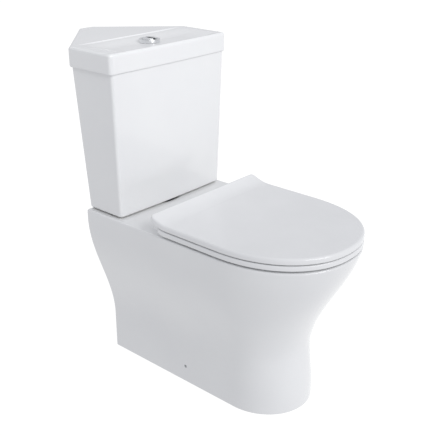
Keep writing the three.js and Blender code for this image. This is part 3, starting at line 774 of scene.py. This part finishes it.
def make_seat_ring():
    """The ring, with hubs for the pins between and outside the posts and knuckles."""
    low, top = SEAT_FOOT, SEAT_TOP

    lower_edge, upper_edge = 0.0022, 0.003

    def level(outline, z):
        return [Vector((x, y, z + ring_lift(y))) for x, y in outline]

    def plan(inset):
        return seat_outline(inset, RING_END, CORNER)

    outer, face = plan(0), plan(0.0035)
    inner = facing(outer, 0.112, -0.072, -0.343)
    lip = facing(outer, 0.1175, -0.0665, -0.3495)
    levels = [level(between(face, inner, 0.02), low)]
    for sine, cosine in quarter(5):
        levels.append(level(plan(lower_edge * (1 - sine)), low + lower_edge * (1 - cosine)))
    levels += [level(outer, z) for z in spread(low + 0.004, top - 0.0035, 2)]
    for sine, cosine in quarter(5):
        levels.append(level(plan(upper_edge * (1 - cosine)), top - upper_edge * (1 - sine)))
    levels += [level(between(face, lip, t), top) for t in spread(0, 1, 24)[1:]]
    rows = [(0.25, -0.0005), (0.55, -0.0022), (0.8, -0.0048), (1, -0.0075), (1, low - top + 0.002)]
    levels += [level(between(lip, inner, t), top + drop) for t, drop in rows]
    levels.append(level(between(inner, lip, 0.15), low))
    levels += [level(between(inner, face, t), low) for t in spread(0, 0.98, 16)[1:-1]]
    levels.append(levels[0])
    ring = skin(levels)
    gaps = []
    for side in (-1, 1):
        x0, x1 = sorted((side * HUB_MIDDLE, side * HUB_FROM))
        gap = box((x0, GAP_FRONT, low - 0.002), (x1, 0.02, top + 0.02))
        gaps.append(softened(gap, 0.0027, 3))
    web = [(-0.034, low + 0.003), (-0.0205, low + 0.0085), (HINGE_Y - 0.001, HINGE_Z - 0.0085),
           (HINGE_Y - 0.004, HINGE_Z + 0.0075), (-0.036, top + 0.001)]
    joins = []
    for x0, x1 in HUBS:
        joins.append(softened(along_x(web, x0 + 0.0006, x1 - 0.0006), 0.0008, 2))
        joins.append(hub_rod(BARREL, x0, x1))
    bores = [hub_rod(PIN_HOLE, side * 0.0447, side * 0.060, 32) for side in (-1, 1)]
    stand_in("seat_ring", worked(worked(worked(ring, cuts=gaps), joins=joins), cuts=bores))


def cover_height(x, y):
    """The lid's upper face: a low crown that sweeps up to the rear edge."""
    back = min(max((y - RISE_FROM) / (COVER_HIGH.y - RISE_FROM), 0), 1)
    forward = min(max((y - RIM_FRONT) / 0.120, 0), 1)
    crown = 0.003 * (1 - (x / RIM_HALF) ** 2) * (1 - back) * math.sin(forward * math.pi / 2)
    return COVER_EDGE + crown + COVER_RISE * back ** 2


def cover_foot(y):
    """The lid's lower edge, which lifts a little with the seat's rear ends."""
    return COVER_FOOT + sweep(y, 0.0062, LIFT_FROM - 0.003, HINGE_Y, 1.9)


def lid_shell():
    """The seat lid before its hinge relief: a thin crowned shell with turned-down sides."""
    middle = Vector((0, -0.195))
    crown_edge = 0.0055

    def shrunk(outline, t):
        return [tuple(middle + (Vector(p) - middle) * (1 - t)) for p in outline]

    def level(outline, height):
        return [Vector((x, y, height(x, y))) for x, y in outline]

    def under(x, y):
        return cover_height(x, y) - COVER_SKIN

    shares = [0.999, 0.93, 0.84, 0.74, 0.64, 0.54, 0.45, 0.37] + spread(0.31, 0.0, 24)
    levels = [level(shrunk(seat_outline(crown_edge), t), cover_height) for t in shares]
    for sine, cosine in quarter(6):
        drop = crown_edge * (1 - cosine)
        levels.append(level(seat_outline(crown_edge * (1 - sine)),
                            lambda x, y, d=drop: cover_height(x, y) - d))
    for t in spread(0, 1, 3)[1:]:
        levels.append(level(seat_outline(), lambda x, y, t=t: mix(
            cover_height(x, y) - crown_edge, cover_foot(y) + 0.0015, t)))
    for inset, lift in ((0.0005, 0.0004), (0.0014, 0), (0.0045, 0), (0.0055, 0.001)):
        levels.append(level(seat_outline(inset), lambda x, y, up=lift: cover_foot(y) + up))
    levels.append(level(seat_outline(0.0055), lambda x, y: under(x, y) - 0.002))
    levels.append(level(seat_outline(0.0075), under))
    levels += [level(shrunk(seat_outline(0.0080), t), under) for t in shares[::-2]]
    return skin(levels)


def make_seat_lid():
    """The lid, hollowed over the ring's hubs, with two knuckles that turn on the pins."""
    relief = [(HINGE_Y + y, HINGE_Z + z) for y, z in (
        (-0.0055, 0.0089), (0, 0), (0.022, 0), (0.022, -0.010), (-0.026, -0.010), (-0.026, -0.006))]
    cheek = RIM_HALF - CHEEK + 0.0002
    cuts = [along_x(relief, -cheek, cheek), hub_rod(BARREL + 0.001, -cheek, cheek)]
    knuckles = []
    for side in (-1, 1):
        x0, x1 = sorted((side * (POST[0] - 0.002), side * (POST[1] + 0.002)))
        cuts.append(box((x0, HINGE_Y + 0.005, HINGE_Z - 0.005), (x1, HINGE_Y + 0.030, HINGE_Z + 0.015)))
        x0, x1 = sorted((side * KNUCKLE[0], side * KNUCKLE[1]))
        knuckles.append(hub_rod(BARREL, x0, x1))
        knuckles.append(box((x0, HINGE_Y - 0.008, HINGE_Z), (x1, HINGE_Y + 0.008, HINGE_Z + 0.0135)))
    bm = worked(worked(lid_shell(), cuts=cuts), joins=knuckles)
    bm = worked(bm, cuts=[hub_rod(PIN_HOLE, -KNUCKLE[1] - 0.001, KNUCKLE[1] + 0.001, 32)])
    stand_in("seat_lid", bm)


def make_buffers():
    """Round buffers with a domed foot, under the ring and under the lid."""
    for name in [n for n in frame["nodes"] if "_buffer_" in n]:
        low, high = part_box(name)
        r = (high.x - low.x) / 2
        x, y = (low.x + high.x) / 2, (low.y + high.y) / 2
        height = high.z - low.z
        soft = min(0.0014, height * 0.4)
        profile = [(0, low.z)]
        for k in range(6):
            a = math.pi / 2 * k / 5
            profile.append((r - soft + soft * math.sin(a), low.z + soft * (1 - math.cos(a))))
        profile += [(r, mix(low.z, high.z, 0.75)), (r - 0.0008, high.z), (0, high.z)]
        stand_in(name, turned(profile, x, y, 48))


# ------------------------------------------------------------------ hardware
def centre_of(name):
    low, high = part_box(name)
    return (low.x + high.x) / 2, (low.y + high.y) / 2, low, high


def threaded(radius, low, high, pitch=0.00125, depth=0.00045):
    """The (radius, height) run of a thread cut as close rings."""
    count = int((high - low) / pitch)
    run = [(radius - depth, low)]
    for k in range(count):
        z = low + k * pitch
        run += [(radius, z + pitch * 0.45), (radius - depth, z + pitch * 0.95)]
    return run


def ring_profile(inner, outer, low, high, soft=0.0005):
    return [(inner, low), (outer - soft, low), (outer, low + soft), (outer, high - soft),
            (outer - soft, high), (inner, high)]


def hex_nut(name, bore):
    """A nut that fills its node's box, with its corners turned down."""
    x, y, low, high = centre_of(name)
    across = (high.y - low.y) / 2
    corner = max(high.x - low.x, high.y - low.y) / 2
    flats = min(across, (high.x - low.x) / 2)
    bm = rod(corner, (x, y, low.z), (x, y, high.z), 6)
    if high.x - low.x < high.y - low.y:
        bmesh.ops.rotate(bm, cent=(x, y, 0), matrix=Matrix.Rotation(math.pi / 6, 3, "Z"),
                         verts=bm.verts)
    bevel = (corner - flats) * 0.5
    round_off = turned([(0, low.z - 0.0001), (flats, low.z - 0.0001), (corner + 0.0001, low.z + bevel),
                        (corner + 0.0001, high.z - bevel), (flats, high.z + 0.0001),
                        (0, high.z + 0.0001)], x, y, 64)
    bm = worked(bm, cuts=[rod(bore, (x, y, low.z - 0.001), (x, y, high.z + 0.001), 64)],
                keeps=[round_off])
    stand_in(name, softened(bm, 0.0002, 1, 25))


def make_hinges():
    """Each hinge: post, pin, and the stud, washer and nut that hold the post to the deck."""
    for name, side in SIDES.items():
        x0, x1 = sorted((side * POST[0], side * POST[1]))
        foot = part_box(f"hinge_post_{name}")[0].z
        section = [(HINGE_Y + 0.010, foot), (HINGE_Y + 0.010, foot + 0.002),
                   (HINGE_Y + 0.0096, foot + 0.006)]
        for k in range(25):
            a = math.pi * k / 24
            section.append((HINGE_Y + 0.0098 * math.cos(a), HINGE_Z + 0.0098 * math.sin(a)))
        section += [(HINGE_Y - 0.0096, foot + 0.006), (HINGE_Y - 0.010, foot + 0.002),
                    (HINGE_Y - 0.010, foot)]
        stud = side * STUD_X
        body = softened(along_x(section, x0, x1), 0.0009, 3, 40)
        cuts = [hub_rod(PIN_HOLE, x0 - 0.001, x1 + 0.001, 32),
                rod(0.0043, (stud, HINGE_Y, 0.399), (stud, HINGE_Y, 0.410), 32)]
        stand_in(f"hinge_post_{name}", worked(body, cuts=cuts))
        pin = f"hinge_pin_{name}"
        low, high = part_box(pin)
        r = (high.z - low.z) / 2
        bm = rod(r, (low.x, HINGE_Y, HINGE_Z), (high.x, HINGE_Y, HINGE_Z), 48)
        stand_in(pin, softened(bm, 0.0006, 2))
        x, y, low, high = centre_of(f"hinge_stud_{name}")
        r = (high.x - low.x) / 2
        shank = [(0, low.z), (r - 0.001, low.z), *threaded(r, low.z + 0.001, high.z - 0.002),
                 (r - 0.0005, high.z), (0, high.z)]
        stand_in(f"hinge_stud_{name}", turned(shank, x, y, 40))
        x, y, low, high = centre_of(f"hinge_washer_{name}")
        stand_in(f"hinge_washer_{name}",
                 turned(ring_profile(r + 0.0003, (high.x - low.x) / 2, low.z, high.z), x, y))
        hex_nut(f"hinge_nut_{name}", r + 0.0003)


def make_coupling():
    """What joins the cistern to the pan: two bolts with seals, washers and wing nuts, and a ring."""
    r = 0.004
    under = 0.4243  # the underside of the bolts' heads
    for name in SIDES:
        x, y, low, high = centre_of(f"coupling_bolt_{name}")
        head = (high.x - low.x) / 2
        profile = [(0, low.z), (r - 0.001, low.z), *threaded(r, low.z + 0.001, 0.398), (r, 0.3995),
                   (r, under), (head - 0.0004, under), (head, under + 0.0006),
                   (head - 0.0004, under + 0.0032), (head - 0.003, high.z - 0.0006),
                   (head - 0.006, high.z), (0, high.z)]
        slot = box((x - 0.02, y - 0.0009, high.z - 0.0022), (x + 0.02, y + 0.0009, high.z + 0.001))
        stand_in(f"coupling_bolt_{name}", worked(turned(profile, x, y, 56), cuts=[slot]))
        x, y, low, high = centre_of(f"coupling_seal_{name}")
        wide = (high.x - low.x) / 2
        cone = [(r + 0.0003, low.z), (0.0125, low.z), (0.0135, low.z + 0.0006),
                (wide - 0.0002, high.z - 0.0045), (wide, high.z - 0.0035), (wide, high.z - 0.0008),
                (wide - 0.0008, high.z), (r + 0.0003, high.z)]
        stand_in(f"coupling_seal_{name}", turned(cone, x, y))
        x, y, low, high = centre_of(f"coupling_washer_{name}")
        stand_in(f"coupling_washer_{name}",
                 turned(ring_profile(r + 0.0003, (high.x - low.x) / 2, low.z, high.z), x, y))
        x, y, low, high = centre_of(f"wing_nut_{name}")
        hub = [(r + 0.0003, low.z), (0.0070, low.z), (0.0080, low.z + 0.001), (0.0068, high.z - 0.001),
               (0.0060, high.z), (r + 0.0003, high.z)]
        wings = []
        for side in (-1, 1):
            points = [(0.0055, low.z + 0.0035), (0.0130, low.z + 0.0032),
                      (0.0165, low.z + 0.0060), (0.0169, high.z - 0.0030),
                      (0.0150, high.z - 0.0006), (0.0115, high.z - 0.0010),
                      (0.0055, high.z - 0.0060)]
            outline = [Vector((x + side * px, 0, pz)) for px, pz in points]
            wing = skin([[v + Vector((0, y + dy, 0)) for v in outline] for dy in (-0.0014, 0.0014)])
            wings.append(softened(wing, 0.0008, 2))
        stand_in(f"wing_nut_{name}", worked(turned(hub, x, y, 48), joins=wings))
    x, y, low, high = centre_of("doughnut_seal")
    outer, inner = (high.x - low.x) / 2, 0.042
    middle, half = (low.z + high.z) / 2, (high.z - low.z) / 2
    bulge = [(inner, low.z + 0.0006), (inner + 0.0006, low.z), (outer - 0.003, low.z)]
    for k in range(1, 8):
        a = -math.pi / 2 + math.pi * k / 8
        bulge.append((outer - 0.003 + 0.003 * math.cos(a), middle + half * math.sin(a)))
    bulge += [(outer - 0.003, high.z), (inner + 0.0006, high.z), (inner, high.z - 0.0006)]
    stand_in("doughnut_seal", turned(bulge, x, y, 96))


def make_flush_valve():
    """The flush valve: threaded base, seals, nut, windowed tower and hollow piston."""
    x, y, low, high = centre_of("flush_valve_base")
    tail, wide, bore = 0.028, (high.x - low.x) / 2, 0.025
    base = [(bore, low.z), (tail - 0.001, low.z),
            *threaded(tail, low.z + 0.001, 0.405, 0.003, 0.0008), (tail, 0.4065), (tail, 0.4189),
            (wide - 0.0006, 0.4189), (wide, 0.4195), (wide, high.z - 0.0010),
            (wide - 0.0010, high.z), (bore, high.z)]
    stand_in("flush_valve_base", turned(base, x, y, 96))
    for name, bore in (("flush_valve_seal", tail + 0.0003), ("fill_valve_seal", 0.0103),
                       ("piston_seal", 0.0143)):
        x, y, low, high = centre_of(name)
        stand_in(name, turned(ring_profile(bore, (high.x - low.x) / 2, low.z, high.z), x, y, 80))
    hex_nut("flush_valve_backnut", tail + 0.0003)
    x, y, low, high = centre_of("flush_valve_tower")
    r = (high.x - low.x) / 2
    wall = 0.003
    shell = [(0, high.z - 0.005), (r - wall, high.z - 0.005), (r - wall, low.z), (r, low.z)]
    for z in (0.490, 0.556, 0.622):
        shell += [(r, z - 0.0006), (r - 0.0008, z - 0.0006), (r - 0.0008, z + 0.0006), (r, z + 0.0006)]
    shell += [(r, high.z - 0.0025), (r - 0.0008, high.z - 0.0008), (r - 0.0025, high.z), (0, high.z)]
    bm = turned(shell, x, y, 96)
    windows = [box((x - 0.06, y - 0.014, 0.429), (x + 0.06, y + 0.014, 0.476)),
               box((x - 0.014, y - 0.06, 0.429), (x + 0.014, y + 0.06, 0.476))]
    windows = [softened(w, 0.004, 4) for w in windows]
    stand_in("flush_valve_tower", worked(bm, cuts=windows))
    x, y, low, high = centre_of("flush_valve_piston")
    disc = (high.x - low.x) / 2
    piston = [(0.011, low.z), (disc - 0.0005, low.z), (disc, low.z + 0.0005), (disc, 0.4315),
              (disc - 0.0005, 0.432), (0.0160, 0.432), (0.0145, 0.4332), (0.014, 0.435),
              (0.014, high.z - 0.001), (0.0132, high.z), (0.011, high.z)]
    stand_in("flush_valve_piston", turned(piston, x, y, 72))


def make_fill_valve():
    """The fill valve with its float, and the buttons' push rods."""
    x, y, low, high = centre_of("fill_valve_stem")
    stem = [(0.0065, low.z), (0.0088, low.z), *threaded(0.010, low.z + 0.001, 0.408, 0.0018, 0.0006),
            (0.010, 0.4095), (0.010, 0.4189), (0.0176, 0.4189), (0.018, 0.4194), (0.018, 0.4214),
            (0.0174, 0.422), (0.0105, 0.422), (0.009, 0.4236), (0.009, high.z), (0.0065, high.z)]
    stand_in("fill_valve_stem", turned(stem, x, y, 64))
    hex_nut("fill_valve_nut", 0.0103)
    x, y, low, high = centre_of("float_cup")
    r, bore = (high.x - low.x) / 2, 0.0115
    cup = [(bore, low.z), (r - 0.003, low.z), (r - 0.0008, low.z + 0.0008), (r, low.z + 0.003),
           (r, high.z - 0.002), (r - 0.0006, high.z - 0.0006), (r - 0.002, high.z),
           (r - 0.0045, high.z), (r - 0.005, high.z - 0.003), (bore + 0.003, high.z - 0.003),
           (bore + 0.0025, high.z), (bore, high.z)]
    stand_in("float_cup", turned(cup, x, y, 72))
    low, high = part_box("fill_valve_head")
    r = (high.y - low.y) / 2
    cap = [(0, low.z), (r - 0.001, low.z), (r, low.z + 0.001), (r, high.z - 0.012),
           (r - 0.0012, high.z - 0.0108), (r - 0.0012, high.z - 0.003), (r - 0.004, high.z), (0, high.z)]
    arm = box((low.x, y - 0.005, 0.652), (x, y + 0.005, 0.662))
    bm = worked(turned(cap, x, y, 72), joins=[softened(arm, 0.0012, 3)])
    stand_in("fill_valve_head", bm)
    for name in ("push_rod_full", "push_rod_half"):
        x, y, low, high = centre_of(name)
        r = (high.x - low.x) / 2
        grooved = threaded(r, low.z + 0.002, high.z - 0.035, 0.002, 0.0004)
        rod_run = [(0, low.z), (r - 0.0008, low.z), *grooved, (r, high.z - 0.030), (r, high.z),
                   (0, high.z)]
        stand_in(name, turned(rod_run, x, y, 32))


def make_button():
    """The button: a rounded collar with its nut, and two half discs that press separately."""
    x, y, low, high = centre_of("button_collar")
    r = (high.x - low.x) / 2
    seat = LID_HIGH.z - SCOOP_DEPTH + 0.0003
    bore, sleeve = 0.0175, 0.0195
    lip = 0.0016
    profile = [(bore, low.z), (sleeve, low.z), (sleeve, seat), (r - 0.0004, seat), (r, seat + 0.0004)]
    for k in range(8):
        a = math.pi / 2 * k / 7
        profile.append((r - lip + lip * math.cos(a), high.z - lip + lip * math.sin(a)))
    profile += [(0.0190, high.z), (0.0181, high.z - 0.0003), (bore, high.z - 0.0010)]
    stand_in("button_collar", turned(profile, x, y, 128))
    hex_nut("button_nut", sleeve + 0.0003)
    for name in ("button_full", "button_half"):
        low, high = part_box(name)
        r = (high.y - low.y) / 2
        soft = 0.0009
        disc = [(0, low.z), (r, low.z), (r, high.z - soft)]
        disc += [(r - soft + soft * cosine, high.z - soft + soft * sine)
                 for sine, cosine in quarter(5)]
        disc.append((0, high.z))
        bm = turned(disc, 0, y, 128)
        side = 1 if low.x + high.x > 0 else -1
        split = min(abs(low.x), abs(high.x))
        bmesh.ops.bisect_plane(bm, geom=bm.verts[:] + bm.edges[:] + bm.faces[:], dist=1e-7,
                               plane_co=(side * split, 0, 0), plane_no=(-side, 0, 0),
                               clear_outer=True)
        bmesh.ops.holes_fill(bm, edges=[e for e in bm.edges if e.is_boundary], sides=0)
        tidy_mesh(bm)
        edge = [e for e in bm.edges if e.is_manifold and e.calc_face_angle(0) > math.radians(50)
                and all(v.co.z > high.z - 0.0012 for v in e.verts)]
        bmesh.ops.bevel(bm, geom=edge, offset=0.0006, offset_type="OFFSET", segments=3,
                        profile=0.5, affect="EDGES", clamp_overlap=True, material=-1)
        stand_in(name, bm)


def make_floor_fixings():
    """The angle brackets inside the foot and the screws through its sides."""
    for name, side in SIDES.items():
        low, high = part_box(f"floor_bracket_{name}")
        wall = high.x if side > 0 else low.x
        toe = low.x if side > 0 else high.x
        fix_y, fix_z = (low.y + high.y) / 2, FIXING_Z
        a, b = sorted((wall, wall - side * 0.004))
        upright = box((a, low.y, low.z), (b, high.y, high.z))
        a, b = sorted((wall, toe))
        foot = box((a, low.y, low.z), (b, high.y, low.z + 0.004))
        cuts = [rod(0.0028, (toe, fix_y, fix_z), (wall + side * 0.005, fix_y, fix_z), 32),
                rod(0.004, (side * 0.072, fix_y, -0.001), (side * 0.072, fix_y, 0.006), 32)]
        bm = worked(worked(upright, joins=[foot]), cuts=cuts)
        stand_in(f"floor_bracket_{name}", softened(bm, 0.0006, 2, 60))
        low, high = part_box(f"side_screw_{name}")
        tip, head = (low.x, high.x) if side > 0 else (high.x, low.x)
        length = abs(head - tip)
        run = [(0, 0), (0.0006, 0), *threaded(0.0025, 0.002, length - 0.005, 0.0014, 0.0006),
               (0.0022, length - 0.0032), (0.0036, length - 0.0028), (0.0037, length - 0.0012),
               (0.0030, length - 0.0002), (0, length)]
        bm = turned(run, 0, 0, 40)
        turn = Matrix.Rotation(side * math.pi / 2, 3, "Y")
        bmesh.ops.rotate(bm, cent=(0, 0, 0), matrix=turn, verts=bm.verts)
        bmesh.ops.translate(bm, vec=(tip, fix_y, fix_z), verts=bm.verts)
        stand_in(f"side_screw_{name}", bm)


# ------------------------------------------------------------------ camera, light and floor
def make_camera():
    """A camera from the front left, a little above."""
    azimuth, elevation, roll = (math.radians(a) for a in (-48.958, 23.162, 0.247))
    back = Vector((math.sin(azimuth) * math.cos(elevation),
                   -math.cos(azimuth) * math.cos(elevation), math.sin(elevation)))
    level = Vector((math.cos(azimuth), math.sin(azimuth), 0))
    up = back.cross(level)
    right = level * math.cos(roll) + up * math.sin(roll)
    up = up * math.cos(roll) - level * math.sin(roll)
    data = bpy.data.cameras.new("camera")
    data.sensor_width = 36
    data.lens = 64.534  # the view is narrow, about 31 degrees across
    data.shift_x = -0.00406
    data.shift_y = -0.00410
    data.clip_end = 60
    camera = bpy.data.objects.new("camera", data)
    turn = Matrix((right, up, back)).transposed().to_4x4()
    turn.translation = (-1.2390, -1.1223, 1.1019)
    camera.matrix_world = turn
    bpy.context.scene.collection.objects.link(camera)
    bpy.context.scene.camera = camera


def aim_from(lamp, direction):
    """Links a lamp that shines from a direction."""
    lamp.rotation_mode = "QUATERNION"
    lamp.rotation_quaternion = direction.to_track_quat("Z", "Y")
    bpy.context.scene.collection.objects.link(lamp)


def make_light():
    """Soft light all round, a broad key from the front and a soft lamp high on the cistern."""
    scene = bpy.context.scene
    scene.view_settings.view_transform = "Standard"
    world = bpy.data.worlds.new("studio")
    scene.world = world
    world.use_nodes = True
    background = world.node_tree.nodes["Background"]
    background.inputs["Color"].default_value = (0.955, 0.965, 1, 1)
    background.inputs["Strength"].default_value = 0.67
    key = bpy.data.lights.new("key", "SUN")
    key.energy = 1.2
    key.angle = math.radians(36)
    lamp = bpy.data.objects.new("key", key)
    aim_from(lamp, Vector((0.0, -0.31, 0.20)))
    high = bpy.data.lights.new("high", "SPOT")
    high.energy = 31
    high.shadow_soft_size = 0.35
    high.spot_size = math.radians(31)
    high.spot_blend = 1
    lamp = bpy.data.objects.new("high", high)
    lamp.location = (-0.50, -0.70, 1.75)
    aim_from(lamp, lamp.location - Vector((0, 0.20, 0.83)))


def make_floor():
    """A pale floor with a wall of the same tone far round it, both left out of the soft light."""
    ground = bmesh.new()
    bmesh.ops.create_grid(ground, x_segments=4, y_segments=4, size=25)
    wall = bmesh.new()
    bmesh.ops.create_cone(wall, cap_ends=False, segments=96, radius1=24, radius2=24, depth=30)
    f = Finish("pale_floor")
    tone = f.noise(0.8, 2)
    f.set(Base_Color=f.tint(tone, (0.10, 0.10, 0.10), (0.11, 0.11, 0.11)), Roughness=0.9,
          Specular_IOR_Level=0.0, Emission_Color=(1, 1, 1, 1), Emission_Strength=0.97)
    for name, bm in (("floor", ground), ("backdrop", wall)):
        made = as_object(bm, name)
        made.data.materials.append(f.material)
        made.visible_diffuse = False
        made.visible_glossy = made.visible_shadow = name == "floor"


make_camera()
make_light()
make_floor()
make_pan()
make_tank()
make_cistern_lid()
make_seat_ring()
make_seat_lid()
make_buffers()
make_hinges()
make_coupling()
make_flush_valve()
make_fill_valve()
make_button()
make_floor_fixings()

for name, node in frame["nodes"].items():
    node.data.materials.clear()
    node.data.materials.append(FINISHES[SLOT_OF[name]])
